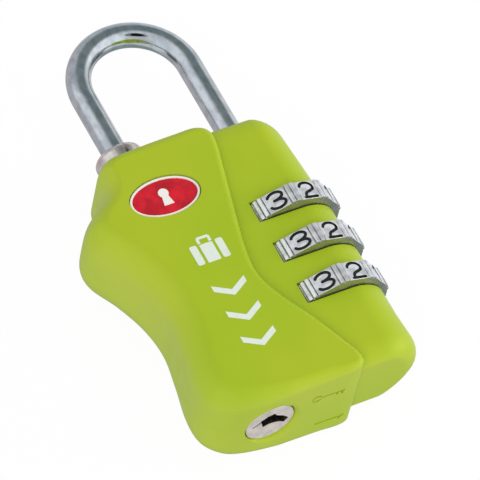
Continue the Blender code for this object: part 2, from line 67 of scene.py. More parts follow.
# Axes of the two legs, and the wire
LEG_X = 8.0
WIRE_R = 1.75
ARCH_Z = 55.7
SHORT_TIP_Z = 43.1
TIP_ROUND = 0.5
NECK_TOP_Z = 33.0
NECK_R = 1.5
LONG_END_Z = 6.6
END_GROOVE_R = 1.1
END_GROOVE_Z = (7.1, 7.9)

# The well round the long leg, from its mouth down to the spring's floor
LEG_HOLE_R = 1.86
LEG_HOLE_MOUTH = ((2.6, 43.0), (2.25, 42.05))
LEG_HOLE_ROUND = 0.3
LEG_HOLE_ROUND_Z = 41.72
GUIDE_R = 2.65
GUIDE_TOP_Z = 40.3
SPINDLE_WELL_R = 4.2
SPINDLE_WELL_Z = (6.2, 33.4)
SPRING_POCKET_R = 2.45
SPRING_FLOOR_Z = 2.5
STRIP_POCKET = ((-2.3, -3.0, 8.6), (0.7, 3.0, 32.6))

# Dials
DIAL_Z = {"top": 27.44, "middle": 20.56, "bottom": 13.68}
DIGITS = 10
DIAL_HALF = 1.5
DIAL_CHAMFER = 0.12
DIAL_BORE_R = 4.67
FACET_R = 7.45
FACET_HALF_DEG = 12.0
RIB_R = 7.8
GROOVE_DEPTH = 0.3
SLOT_HALF = 1.68
SLOT_R = 8.02
DIGIT_HALF_WIDTH = 1.1
DIGIT_HALF_HEIGHT = 1.19
DIGIT_STROKE = 0.43
DIGIT_DEPTH = 0.14

# Key core
CORE_FIT = 0.1
PLUG_R = 3.5
PLUG_FACE_Z = 0.45
PLUG_FACE_ROUND = 0.25
PLUG_TOP_Z = 21.0
PLUG_GROOVE_R = 2.85
PLUG_GROOVE_Z = (19.2, 20.0)
PLUG_WELL_R = 3.6
CLIP_SEAT_R = 4.2
CLIP_SEAT_Z = (19.0, 20.3)
HOLE_LIP_R = 0.9
KEYWAY_TURN_DEG = 15.0
KEYWAY_TOP_Z = 16.0
WAFER_SLOT = (4.5, 1.7, 0.4)  # half its length, depth and height
WAFER_Z = (4.4, 7.0, 9.6, 12.2)
BAR_SLOT = (1.6, 0.6)  # half its length and depth
BAR_SLOT_Z = (18.4, 38.4)
BAR_WELL_R = 2.1
BAR_END_GAP = 0.2
COLLAR_R = 3.4
COLLAR_BOTTOM_Z = 36.0
COLLAR_TOP_Z = 45.9
COLLAR_CROWN_ROUND = 0.95
COLLAR_MOUTH_ROUND = 0.25
COLLAR_EDGE_ROUND = 0.06
COLLAR_SOCKET_R = 1.95
COLLAR_FLOOR_Z = 42.75
SLIT_WIDTH = 0.45
SLIT_TURN_DEG = -84.0
SLIT_FLOOR_Z = 43.2

# Housing
LOBE_HALF = 7.4
LOBE_TOP_Z = 42.5
NOSE_HALF = 5.9
NOSE_BOTTOM_Z = 0.9
NOSE_TOP_Z = 42.0
NOSE_ROOT_X = -3.0
NOSE_BEND_X = 9.0
NOSE_POWER_FRONT = 1.95
NOSE_POWER_BACK = 1.6
NOSE_FRONT_FILLET = 1.7
NOSE_CORNER = 3.2
PARTING = 0.006
TRIM = 0.03  # that the painted shells stay inside the plain ones
INWARD_EASE = 1.5  # knots on each side that the direction of the edge rounding is eased over
PIN_HOLE_R = 0.86
PIN_HOLE_HALF = 4.8
SIGN_DEPTH = 0.16

# Badge and print, with depths from the front face
BADGE_X, BADGE_Z = -7.9, 33.4
BADGE_A, BADGE_C = 5.0, 3.0
BADGE_GAP = 0.12
BADGE_RECESS_DEPTH = 0.86
BADGE_FRONT_DEPTH = 0.2
BADGE_BACK_DEPTH = 0.75
BADGE_RIM = 0.34
BADGE_DOME = 0.12
PRINT_X = -6.4
PRINT_RISE = 0.03
PRINT_THICKNESS = 0.04
SUITCASE_Z = 23.4
CHEVRON_Z = 18.3
CHEVRON_PITCH = 4.2

# Stage. Lights are a place, a size and a power, and places are in metres.
FLOOR_GAP = 0.2
FLOOR_HALF = 400
FLOOR_FADE = (0.09, 0.26)  # metres from the lock where the floor starts to fade, and where it is gone
FLOOR_GRAIN = 220.0
FLOOR_GLOW_SHARE = 0.96
WORLD_STRENGTH = 0.72
KEY_LIGHT = ((-0.4, -0.5, -0.33), 0.5, 1.95)
FILL_LIGHT = ((0.65, -0.15, -0.1), 0.5, 3.2)
LIGHT_TARGET = (0, 0, 0.025)
CAMERA_PLACE = (-0.22735, -0.51954, -0.25964)
CAMERA_RIGHT = (0.8816, -0.1388, -0.4512)
CAMERA_DOWN = (-0.3058, 0.5601, -0.7699)
CAMERA_FORWARD = (0.3595, 0.8167, 0.4514)
CAMERA_LENS = 359.2
# What polished metal sees round the lock: azimuth from +X and elevation of a soft round patch, its
# inner and outer radius, all in degrees, and its colour. A later patch lies over an earlier one.
SURROUNDINGS_BASE = (0.66, 0.69, 0.72)
SURROUNDINGS = (
    (-150, 70, 30, 60, (0.42, 0.47, 0.52)),
    (-150, 5, 30, 50, (0.74, 0.80, 0.87)),
    (-30, -35, 30, 48, (0.90, 0.98, 1.05)),
    (130, 35, 35, 60, (0.46, 0.46, 0.50)),
    (80, -15, 30, 50, (0.27, 0.33, 0.34)),
    (163, 8, 8, 20, (0.12, 0.12, 0.13)),
    (14, -18, 12, 26, (0.10, 0.12, 0.16)),
    (-62, 28, 18, 44, (0.17, 0.215, 0.23)),
    (-97, -33, 12, 16, (0.008, 0.01, 0.014)),
)

# The thick lobe seen from the front: x, z, how far its edge rounding reaches in, and how far back
LOBE_KNOTS = (
    (-11.6, 42.4, 1.8, 3.0),
    (-13.5, 41.4, 2.0, 4.0),
    (-13.95, 40.0, 2.2, 5.0),
    (-14.3, 38.5, 2.4, 5.5),
    (-15.2, 37.3, 2.6, 5.8),
    (-16.8, 36.2, 2.8, 5.8),
    (-18.45, 34.8, 2.9, 5.8),
    (-19.5, 33.0, 3.0, 5.8),
    (-19.2, 30.5, 3.2, 5.5),
    (-17.2, 26.7, 3.4, 5.0),
    (-15.45, 22.2, 3.5, 4.5),
    (-14.85, 17.4, 3.5, 4.5),
    (-15.55, 12.2, 3.5, 4.2),
    (-16.45, 7.2, 3.4, 4.0),
    (-16.1, 3.7, 3.1, 3.8),
    (-13.95, 1.25, 2.9, 3.4),
    (-11.0, 0.35, 2.4, 2.7),
    (-6.5, 0.0, 1.8, 1.9),
    (-4.0, 0.0, 1.6, 1.7),
    (0.0, 0.0, 1.5, 1.5),
    (3.1, 0.0, 1.0, 1.2),
    (4.75, 0.6, 0.9, 0.9),
    (4.95, 2.3, 0.9, 0.9),
    (3.9, 5.0, 1.0, 1.0),
    (2.1, 9.2, 1.0, 1.0),
    (-0.2, 13.6, 1.0, 1.0),
    (-1.75, 18.0, 1.0, 1.0),
    (-1.3, 22.8, 1.0, 1.0),
    (0.2, 28.9, 1.0, 1.0),
    (1.6, 34.4, 1.0, 1.0),
    (2.7, 39.0, 1.0, 1.0),
    (2.6, 41.2, 1.2, 1.2),
    (1.0, 42.4, 1.5, 1.5),
    (-2.0, 42.5, 1.6, 1.6),
    (-7.0, 42.5, 1.7, 2.0),
)
NOSE_KNOTS = ((0.9, 15.3), (8.0, 14.85), (17.0, 14.85), (26.0, 14.6), (34.0, 14.05), (42.0, 13.45))
PIN_PLACES = ((-14.4, 35.6), (-13.4, 6.0), (1.4, 37.2), (1.6, 3.6))


# ---------------------------------------------------------------- meshes


def place(name, bm, at=(0, 0, 0), smooth_deg=35):
    """An object at a place, from a bmesh in millimetres about that place."""
    bmesh.ops.recalc_face_normals(bm, faces=bm.faces)
    bmesh.ops.scale(bm, vec=(MM, MM, MM), verts=bm.verts)
    mesh = bpy.data.meshes.new(name)
    bm.to_mesh(mesh)
    bm.free()
    mesh.shade_smooth()
    mesh.set_sharp_from_angle(angle=math.radians(smooth_deg))
    obj = bpy.data.objects.new(name, mesh)
    bpy.context.collection.objects.link(obj)
    obj.location = Vector(at) * MM
    return obj


def baked(obj, smooth_deg=35):
    """Put the result of an object's modifiers in its own mesh."""
    bpy.context.view_layer.update()
    graph = bpy.context.evaluated_depsgraph_get()
    mesh = bpy.data.meshes.new_from_object(obj.evaluated_get(graph))
    mesh.name = obj.name
    obj.modifiers.clear()
    obj.data = mesh
    mesh.shade_smooth()
    mesh.set_sharp_from_angle(angle=math.radians(smooth_deg))
    return obj


def combine(obj, others, operation="DIFFERENCE", materials="INDEX"):
    """Cut or join others with obj for good, and delete them."""
    for other in others:
        modifier = obj.modifiers.new(other.name, "BOOLEAN")
        modifier.operation = operation
        modifier.solver = "EXACT"
        modifier.material_mode = materials
        modifier.object = other
    baked(obj)
    for other in others:
        bpy.data.objects.remove(other)
    return obj


def steady_normals(obj):
    modifier = obj.modifiers.new("steady normals", "WEIGHTED_NORMAL")
    modifier.keep_sharp = True
    return obj


def soften(obj, width, segments=2, limit_deg=35, clamp=True):
    """Round an object's sharp edges, for good."""
    modifier = obj.modifiers.new("soften", "BEVEL")
    modifier.width = width * MM
    modifier.segments = segments
    modifier.limit_method = "ANGLE"
    modifier.angle_limit = math.radians(limit_deg)
    modifier.use_clamp_overlap = clamp
    modifier.miter_outer = "MITER_ARC"
    return baked(obj, 45)


def loft(rings, closed=False):
    """A solid through rings of equally many points: capped at each end, or closed on itself."""
    bm = bmesh.new()
    rows = [[bm.verts.new(p) for p in ring] for ring in rings]
    pairs = list(zip(rows, rows[1:])) + ([(rows[-1], rows[0])] if closed else [])
    for low, high in pairs:
        for i, point in enumerate(low):
            after = (i + 1) % len(low)
            bm.faces.new((point, low[after], high[after], high[i]))
    if not closed:
        bm.faces.new(rows[0])
        bm.faces.new(rows[-1])
    return bm


def prism(profile, low, high):
    """A profile of (x, y) points, extruded along Z."""
    return loft([[(x, y, z) for x, y in profile] for z in (low, high)])


def box(low, high):
    bm = bmesh.new()
    bmesh.ops.create_cube(bm, size=1.0)
    bmesh.ops.scale(bm, vec=Vector(high) - Vector(low), verts=bm.verts)
    bmesh.ops.translate(bm, vec=(Vector(high) + Vector(low)) / 2, verts=bm.verts)
    return bm


def circle(radius, z, sides):
    turns = [2 * math.pi * i / sides for i in range(sides)]
    return [(radius * math.cos(a), radius * math.sin(a), z) for a in turns]


def turned(steps, sides=64):
    """A solid of revolution about Z through (radius, z) steps."""
    return loft([circle(radius, z, sides) for radius, z in steps])


def fillet(radius, corner_r, corner_z, start_deg, end_deg, steps=6):
    """(radius, z) steps along an arc about (corner_r, corner_z)."""
    angles = [math.radians(start_deg + (end_deg - start_deg) * i / steps) for i in range(steps + 1)]
    return [(corner_r + radius * math.cos(a), corner_z + radius * math.sin(a)) for a in angles]


def curve_through(knots, steps):
    """A closed Catmull-Rom curve through knots of any number of values."""
    points = []
    count = len(knots)
    for i in range(count):
        a, b, c, d = (Vector(knots[(i + n) % count]) for n in (-1, 0, 1, 2))
        for step in range(steps):
            t = step / steps
            cubic = (3 * b - a - 3 * c + d) * t**3
            points.append(0.5 * (2 * b + (c - a) * t + (2 * a - 5 * b + 4 * c - d) * t * t + cubic))
    return points


def between(knots, at):
    """A value from (place, value) knots joined by straight lines."""
    for (low, value), (high, after) in zip(knots, knots[1:]):
        if at <= high:
            return value + (after - value) * (at - low) / (high - low)
    return knots[-1][1]


class Nodes:
    """Short calls for making the nodes of a tree."""

    def __init__(self, tree):
        self.tree = tree

    def put(self, socket, value):
        if isinstance(value, bpy.types.NodeSocket):
            self.tree.links.new(value, socket)
        else:
            socket.default_value = value

    def add(self, kind, inputs=None, **settings):
        node = self.tree.nodes.new(kind)
        for key, value in settings.items():
            setattr(node, key, value)
        for key, value in (inputs or {}).items():
            self.put(node.inputs[key], value)
        return node

    def span(self, value, low, high, to_low=0.0, to_high=1.0):
        """The value's range low to high, as to_low to to_high."""
        inputs = {"Value": value, "From Min": low, "From Max": high, "To Min": to_low, "To Max": to_high}
        return self.add("ShaderNodeMapRange", inputs, interpolation_type="SMOOTHSTEP").outputs[0]

    def mix(self, share, first, second):
        node = self.add("ShaderNodeMix", data_type="RGBA")
        self.put(node.inputs[0], share)
        for socket, colour in ((node.inputs[6], first), (node.inputs[7], second)):
            self.put(socket, (*colour, 1.0) if isinstance(colour, tuple) else colour)
        return node.outputs[2]

    def maths(self, operation, first, second=0.0):
        return self.add("ShaderNodeMath", {0: first, 1: second}, operation=operation).outputs[0]

    def dot(self, first, second):
        node = self.add("ShaderNodeVectorMath", {0: first, 1: second}, operation="DOT_PRODUCT")
        return node.outputs["Value"]

    def length(self, vector):
        return self.add("ShaderNodeVectorMath", {0: vector}, operation="LENGTH").outputs["Value"]


class Look(Nodes):
    """A material made round one Principled shader."""

    def __init__(self, name, colour=(0.8, 0.8, 0.8), roughness=0.5, metallic=0.0):
        self.material = bpy.data.materials.new(name)
        self.material.use_nodes = True
        super().__init__(self.material.node_tree)
        self.shader = self.tree.nodes["Principled BSDF"]
        self.set("Base Color", (*colour, 1.0))
        self.set("Roughness", roughness)
        self.set("Metallic", metallic)
        self.material.diffuse_color = (*colour, 1.0)
        self.place = self.add("ShaderNodeTexCoord").outputs["Object"]

    def set(self, name, value):
        """Give one of the shader's inputs a value or a link."""
        self.put(self.shader.inputs[name], value)

    def noise(self, scale, detail=2.0, stretch=(1, 1, 1), roughness=0.5):
        """Noise with this many cycles in a millimetre, drawn out along an axis by stretch."""
        size = [scale / (MM * s) for s in stretch]
        place = self.add("ShaderNodeVectorMath", {0: self.place, 1: size}, operation="MULTIPLY")
        inputs = {"Vector": place.outputs[0], "Scale": 1.0, "Detail": detail, "Roughness": roughness}
        return self.add("ShaderNodeTexNoise", inputs).outputs["Fac"]

    def radius(self):
        """The distance from the object's own Z axis, in millimetres."""
        inputs = {0: self.place, 1: (1 / MM, 1 / MM, 0)}
        return self.length(self.add("ShaderNodeVectorMath", inputs, operation="MULTIPLY").outputs[0])

    def height(self):
        """How far above or below the object's origin, in millimetres."""
        up = self.add("ShaderNodeSeparateXYZ", {0: self.place}).outputs["Z"]
        return self.maths("ABSOLUTE", self.maths("MULTIPLY", up, 1 / MM))

    def facing(self, axis):
        """How squarely the surface faces along an axis, from 0 to 1."""
        normal = self.add("ShaderNodeNewGeometry").outputs["True Normal"]
        part = self.add("ShaderNodeSeparateXYZ", {0: normal}).outputs[axis]
        return self.maths("ABSOLUTE", part)

    def bump(self, height, depth, strength=1.0):
        """Raise the surface by height times depth millimetres."""
        inputs = {"Height": height, "Distance": depth * MM, "Strength": strength}
        self.set("Normal", self.add("ShaderNodeBump", inputs).outputs[0])


def paint_look():
    """Satin yellow-green paint on cast metal: faint orange peel, a slow drift of hue and gloss, and painted
    sheen: the rounded edges, sides and ends are painted paler than the flat faces.
    """
    look = Look("green_paint", (0.35, 0.475, 0.016), 0.4)
    drift = look.span(look.noise(0.055, 3), 0.35, 0.65)
    flat = look.mix(drift, (0.345, 0.478, 0.006), (0.385, 0.488, 0.009))
    # Surfaces turned away from the front and back faces, the rounded edges, sides and ends, get a paler tone:
    # painted sheen.
    painted_sheen = look.mix(drift, (0.375, 0.49, 0.02), (0.41, 0.50, 0.028))
    base = look.mix(look.span(look.facing("Y"), 0.1, 1.0), painted_sheen, flat)
    speck = look.span(look.noise(2.2, 3), 0.66, 0.74, 0.0, 0.12)
    base = look.mix(speck, base, (0.47, 0.56, 0.06))
    look.set("Base Color", base)
    gloss = look.span(look.noise(0.3, 4), 0.3, 0.7, 0.36, 0.47)
    look.set("Roughness", gloss)
    look.set("Specular IOR Level", 0.42)
    look.set("Coat Weight", 0.06)
    look.set("Coat Roughness", 0.25)
    look.bump(look.noise(1.3, 2), 0.012)
    return look.material


def chrome_look():
    """Plated wire: bright, a little blue, with drawing lines along it and a few rub marks."""
    look = Look("chrome", (0.78, 0.8, 0.82), 0.07, 1.0)
    tint = look.span(look.noise(0.12, 2), 0.35, 0.65)
    base = look.mix(tint, (0.69, 0.735, 0.755), (0.81, 0.80, 0.80))
    cloud = look.span(look.noise(1.1, 5, (1, 1, 1.6)), 0.4, 0.66, 0.0, 0.6)
    look.set("Base Color", look.mix(cloud, base, (0.50, 0.51, 0.52)))
    look.set("Roughness", look.span(look.noise(0.7, 5), 0.4, 0.7, 0.09, 0.26))
    waves = look.maths("MULTIPLY", look.noise(1.6, 3), 3.0)
    look.bump(look.maths("ADD", look.noise(4.0, 2, (1, 1, 18)), waves), 0.0022)
    return look.material


def silver_look():
    """Satin plated number wheels: cloudy plating, lathe lines round them, painted shade darkening the
    grooves, and side faces painted a darker olive grey as painted shade with a painted reflection of the
    green body.
    """
    look = Look("dial_silver", (0.85, 0.85, 0.86), 0.4, 0.6)
    # The grooves and the bore, away from the side faces, are darkened almost to black in patches: painted
    # shade.
    groove = look.span(look.radius(), FACET_R - 0.27, FACET_R - 0.08, 1.0, 0.0)
    rim = look.span(look.height(), DIAL_HALF - 0.25, DIAL_HALF - 0.1, 1.0, 0.0)
    blotch = look.span(look.noise(0.8, 4), 0.38, 0.64)
    painted_groove_shade = look.maths("MULTIPLY", groove, look.maths("MULTIPLY", rim, look.span(blotch, 0, 1, 0.6, 0.95)))
    base = look.mix(blotch, (0.66, 0.66, 0.68), (0.97, 0.97, 0.97))
    # The side faces get a darker olive grey: painted shade, with the green body's reflection painted in.
    side = look.span(look.height(), DIAL_HALF - 0.04, DIAL_HALF - 0.01)
    base = look.mix(side, base, (0.42, 0.42, 0.36))
    look.set("Base Color", look.mix(painted_groove_shade, base, (0.05, 0.05, 0.045)))
    look.set("Metallic", look.span(side, 0.0, 1.0, 0.6, 0.85))
    satin = look.span(look.noise(2.5, 3, (1, 1, 0.12)), 0.3, 0.7, 0.28, 0.45)
    look.set("Roughness", look.maths("MULTIPLY", satin, look.span(side, 0.0, 1.0, 1.0, 0.85)))
    look.bump(look.noise(3.0, 2, (6, 6, 0.5)), 0.003)
    return look.material


def nickel_look(name, metallic, gloss):
    """Warm nickel on the lock core: turning rings, scratches and a few dark specks."""
    look = Look(name, (0.84, 0.75, 0.70), gloss, metallic)
    rings = look.maths("SINE", look.maths("MULTIPLY", look.radius(), 70.0))
    blotch = look.span(look.noise(0.9, 4), 0.3, 0.7)
    base = look.mix(blotch, (0.74, 0.63, 0.58), (0.95, 0.84, 0.78))
    speck = look.span(look.noise(3.0, 3), 0.68, 0.76, 0.0, 0.5)
    look.set("Base Color", look.mix(speck, base, (0.30, 0.26, 0.24)))
    scratch = look.noise(5.0, 2, (9, 0.8, 9))
    look.set("Roughness", look.span(scratch, 0.35, 0.7, gloss - 0.06, gloss + 0.1))
    height = look.maths("ADD", look.maths("MULTIPLY", rings, 0.25), look.noise(2.0, 3, (5, 0.7, 5)))
    look.bump(height, 0.004)
    return look.material


def machined_look(name, light, dark, roughness, stretch):
    """Bare metal inside the lock, with tool marks drawn out by stretch and a thin film of grease."""
    look = Look(name, light, roughness, 1.0)
    film = look.span(look.noise(0.7, 4), 0.35, 0.7)
    look.set("Base Color", look.mix(film, light, dark))
    marks = look.noise(4.0, 3, stretch)
    look.set("Roughness", look.span(marks, 0.3, 0.7, roughness - 0.1, roughness + 0.12))
    look.bump(marks, 0.005)
    return look.material


def keyway_shade_look():
    """The walls of the keyway, almost black in patches: painted shade in the deep hole."""
    look = Look("keyway_painted_shade", (0.03, 0.022, 0.018), 0.55, 0.4)
    patch = look.span(look.noise(1.5, 3), 0.35, 0.7)
    look.set("Base Color", look.mix(patch, (0.012, 0.009, 0.008), (0.06, 0.045, 0.035)))
    look.bump(look.noise(4.0, 3), 0.01)
    return look.material


def black_look():
    """Matt black paint in the digits."""
    look = Look("digit_black", (0.008, 0.008, 0.009), 0.4)
    look.set("Roughness", look.span(look.noise(3.0, 3), 0.3, 0.7, 0.3, 0.55))
    look.bump(look.noise(6.0, 2), 0.004)
    return look.material


def enamel_look():
    """Glassy red enamel, deeper in some places than in others."""
    look = Look("badge_red", (0.6, 0.006, 0.02), 0.18)
    deep = look.span(look.noise(0.45, 3), 0.35, 0.65)
    look.set("Base Color", look.mix(deep, (0.68, 0.006, 0.022), (0.45, 0.004, 0.014)))
    look.set("Roughness", look.span(look.noise(1.5, 3), 0.3, 0.7, 0.12, 0.24))
    look.set("Coat Weight", 0.5)
    look.bump(look.noise(0.8, 2), 0.006)
    return look.material


def pale_look(name, colour, roughness):
    """White print or pale lacquer, thinner and duller in patches."""
    look = Look(name, colour, roughness)
    thin = look.span(look.noise(1.2, 4), 0.45, 0.75, 0.0, 0.35)
    shade = tuple(c * 0.82 for c in colour)
    look.set("Base Color", look.mix(thin, colour, shade))
    look.set("Roughness", look.span(look.noise(2.0, 3), 0.3, 0.7, roughness - 0.08, roughness + 0.1))
    look.bump(look.noise(3.0, 2), 0.004)
    return look.material


# ---------------------------------------------------------------- housing


def inward_ways(outline, steps):
    """Which way is in from each point, eased over the neighbouring knots so that corners don't fold."""
    count = len(outline)
    along = [(outline[(i + 1) % count] - outline[i - 1]).xy.normalized() for i in range(count)]
    reach = round(INWARD_EASE * steps)
    ways = []
    for i in range(count):
        eased = sum((along[(i + n) % count] for n in range(-reach, reach + 1)), Vector((0, 0)))
        ways.append(Vector((-eased.y, eased.x)).normalized())
    return ways


def lobe_rings(side, steps=8, turns=10):
    """Rings of one half of the thick lobe, from the parting plane to its flat face."""
    outline = curve_through(LOBE_KNOTS, steps)
    inward = inward_ways(outline, steps)
    edge = [(p.x + way.x * TRIM, p.y + way.y * TRIM) for p, way in zip(outline, inward)]
    rings = [[(x, side * PARTING, z) for x, z in edge]]
    for turn in range(turns + 1):
        angle = math.pi / 2 * turn / turns
        ring = []
        for p, way in zip(outline, inward):
            inset = TRIM + p.z * (1 - math.cos(angle))
            y = LOBE_HALF - p.w * (1 - math.sin(angle))
            ring.append((p.x + way.x * inset, side * y, p.y + way.y * inset))
        rings.append(ring)
    return rings


def nose_section(tip_x, half, side, z, steps=26):
    """One half of the thin lobe cut at a height: a flat face, then a superellipse to the tip."""
    section = [(NOSE_ROOT_X, side * PARTING, z), (NOSE_ROOT_X, side * half, z)]
    power = NOSE_POWER_FRONT if side < 0 else NOSE_POWER_BACK
    for step in range(steps + 1):
        angle = math.pi / 2 * step / steps
        x = NOSE_BEND_X + (tip_x - NOSE_BEND_X) * math.sin(angle) ** (2 / power)
        y = half * abs(math.cos(angle)) ** (2 / power)
        section.append((x, side * max(y, PARTING), z))
    return section


def nose_rings(side, turns=8):
    """Sections of the thin lobe from the bottom end to the top, drawn in at both ends."""
    rings = []
    for turn in range(turns + 1):
        angle = math.pi / 2 * turn / turns
        drawn = 1 - math.sin(angle)
        z = NOSE_BOTTOM_Z + NOSE_CORNER * (1 - math.cos(angle))
        rings.append((z, NOSE_CORNER * drawn, NOSE_FRONT_FILLET * drawn))
    rings += [(float(z), 0.0, 0.0) for z in range(6, 38, 2)]
    for turn in range(turns + 1):
        angle = math.pi / 2 * turn / turns
        drawn = 1 - math.cos(angle)
        z = NOSE_TOP_Z - NOSE_CORNER * (1 - math.sin(angle))
        rings.append((z, NOSE_CORNER * drawn, NOSE_FRONT_FILLET * drawn))
    sections = []
    for z, tip, flat in rings:
        sections.append(nose_section(between(NOSE_KNOTS, z) - TRIM - tip, NOSE_HALF - flat, side, z))
    return sections


def badge_oval(inset, y, sides=72):
    """A ring round the badge, in from its edge."""
    turns = [2 * math.pi * i / sides for i in range(sides)]
    return [((BADGE_A - inset) * math.cos(a), y, (BADGE_C - inset) * math.sin(a)) for a in turns]


def engraved_signs():
    """A small key and an arrow, cut into the bottom end beside the key hole, as (x, y) outlines."""
    bow = arc(-1.75, -2.6, 0.75, 0.75, 20, 340, 18) + arc(-1.75, -2.6, 0.42, 0.42, -30, -330, 14)
    blade = [(-1.15, -2.75), (2.4, -2.75), (2.4, -2.45), (2.2, -2.45), (2.2, -1.95), (1.85, -1.95)]
    blade += [(1.85, -2.45), (1.45, -2.45), (1.45, -2.1), (1.1, -2.1), (1.1, -2.45), (-1.15, -2.45)]
    arrow = [(3.5, 4.05), (2.5, 4.8), (2.5, 4.22), (-1.0, 4.22), (-1.0, 3.88), (2.5, 3.88), (2.5, 3.3)]
    return bow, blade, arrow


def turned_about_z(bm, degrees):
    bmesh.ops.rotate(bm, matrix=Matrix.Rotation(math.radians(degrees), 3, "Z"), verts=bm.verts)
    return bm


def spindle_well():
    """(radius, z) steps of the stepped hole round the long leg, with a soft mouth."""
    round_r = LEG_HOLE_R + LEG_HOLE_ROUND
    mouth = [*LEG_HOLE_MOUTH] + fillet(LEG_HOLE_ROUND, round_r, LEG_HOLE_ROUND_Z, 90, 180, 5)
    return mouth + [
        (LEG_HOLE_R, GUIDE_TOP_Z),
        (GUIDE_R, GUIDE_TOP_Z),
        (GUIDE_R, SPINDLE_WELL_Z[1]),
        (SPINDLE_WELL_R, SPINDLE_WELL_Z[1]),
        (SPINDLE_WELL_R, SPINDLE_WELL_Z[0]),
        (SPRING_POCKET_R, SPINDLE_WELL_Z[0]),
        (SPRING_POCKET_R, SPRING_FLOOR_Z),
    ]


def core_well():
    """(radius, z) steps of the hole round the collar, the bar and the plug, with a soft lip below."""
    steps = [
        (COLLAR_R + CORE_FIT, LOBE_TOP_Z + THROUGH),
        (COLLAR_R + CORE_FIT, COLLAR_BOTTOM_Z - BAR_END_GAP),
        (BAR_WELL_R, COLLAR_BOTTOM_Z - BAR_END_GAP),
        (BAR_WELL_R, PLUG_TOP_Z + BAR_END_GAP),
        (PLUG_WELL_R, PLUG_TOP_Z + BAR_END_GAP),
        (PLUG_WELL_R, CLIP_SEAT_Z[1]),
        (CLIP_SEAT_R, CLIP_SEAT_Z[1]),
        (CLIP_SEAT_R, CLIP_SEAT_Z[0]),
        (PLUG_WELL_R, CLIP_SEAT_Z[0]),
    ]
    lip_r = PLUG_WELL_R + HOLE_LIP_R
    lip = fillet(HOLE_LIP_R, lip_r, HOLE_LIP_R, 180, 266, 12)
    return steps + lip + [(lip_r, -0.3), (lip_r, -THROUGH)]


def shell_cutters(side):
    """The hollows in one shell."""
    dial_axis, core_axis = (LEG_X, 0, 0), (-LEG_X, 0, 0)
    cutters = []
    for name, z in DIAL_Z.items():
        slot = turned([(SLOT_R, z + SLOT_HALF), (SLOT_R, z - SLOT_HALF)], 128)
        cutters.append(place(f"slot_{name}", slot, dial_axis))
    cutters.append(place("spindle_well", turned(spindle_well()), dial_axis))
    cutters.append(place("core_well", turned(core_well(), 96), core_axis))
    cutters.append(place("detent_pocket", box(*STRIP_POCKET)))
    for number, (x, z) in enumerate(PIN_PLACES, 1):
        hole = turned([(PIN_HOLE_R, PIN_HOLE_HALF), (PIN_HOLE_R, -PIN_HOLE_HALF)], 24)
        bmesh.ops.rotate(hole, matrix=Matrix.Rotation(math.pi / 2, 3, "X"), verts=hole.verts)
        cutters.append(place(f"pin_hole_{number}", hole, (x, 0, z)))
    for number, outline in enumerate(engraved_signs(), 1):
        cutters.append(place(f"sign_{number}", prism(outline, -THROUGH, SIGN_DEPTH)))
    if side < 0:
        ends = (-LOBE_HALF - THROUGH, -LOBE_HALF + BADGE_RECESS_DEPTH)
        recess = loft([badge_oval(-BADGE_GAP, y) for y in ends])
        cutters.append(place("badge_recess", recess, (BADGE_X, 0, BADGE_Z)))
    return cutters


def build_shells():
    paint = paint_look()
    for name, side in (("front_shell", -1), ("back_shell", 1)):
        shell = place(f"{name}_painted", loft(lobe_rings(side)))
        nose = place(f"{name}_nose", loft(nose_rings(side)))
        combine(shell, [nose], "UNION")
        combine(shell, shell_cutters(side))
        shell.data.materials.clear()
        shell.data.materials.append(paint)
        steady_normals(shell)
        finish_piece(shell, "housing", "green_shell", name)


def finish_piece(obj, body, slot, *nodes):
    """Hand a finished piece to the frame: the body it rides on, its slot, which is not used, and what it
    stands for.
    """
    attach(obj, body)
    if nodes:
        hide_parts(*nodes)


# ---------------------------------------------------------------- shackle and core


def build_shackle():
    """Round wire: up the short leg, over the arch and down the long leg to its neck and end groove."""
    sides, steps = 48, 72
    tip = fillet(TIP_ROUND, WIRE_R - TIP_ROUND, SHORT_TIP_Z + TIP_ROUND, 270, 360)
    short_leg = tip + [(WIRE_R, z) for z in (46.0, 49.0, 52.0)]
    stations = [(Vector((-LEG_X, 0, z)), 0.0, radius) for radius, z in short_leg]
    for step in range(steps + 1):
        turn = math.pi * step / steps
        centre = Vector((-LEG_X * math.cos(turn), 0, ARCH_Z + LEG_X * math.sin(turn)))
        stations.append((centre, turn, WIRE_R))
    low, high = END_GROOVE_Z
    long_leg = [(WIRE_R, 50.0), (WIRE_R, 45.0), (WIRE_R, 40.0), (WIRE_R, NECK_TOP_Z), (NECK_R, NECK_TOP_Z)]
    long_leg += [(NECK_R, high), (END_GROOVE_R, high), (END_GROOVE_R, low), (NECK_R, low)]
    long_leg.append((NECK_R, LONG_END_Z))
    stations += [(Vector((LEG_X, 0, z)), math.pi, radius) for radius, z in long_leg]
    rings = []
    for centre, turn, radius in stations:
        outward = Vector((-math.cos(turn), 0, math.sin(turn)))
        turns = [2 * math.pi * i / sides for i in range(sides)]
        arms = [math.cos(a) * outward + math.sin(a) * Vector((0, 1, 0)) for a in turns]
        rings.append([centre + radius * arm for arm in arms])
    wire = place("shackle_wire", loft(rings), smooth_deg=50)
    wire.data.materials.append(chrome_look())
    finish_piece(wire, "shackle", "chrome_wire", "shackle")


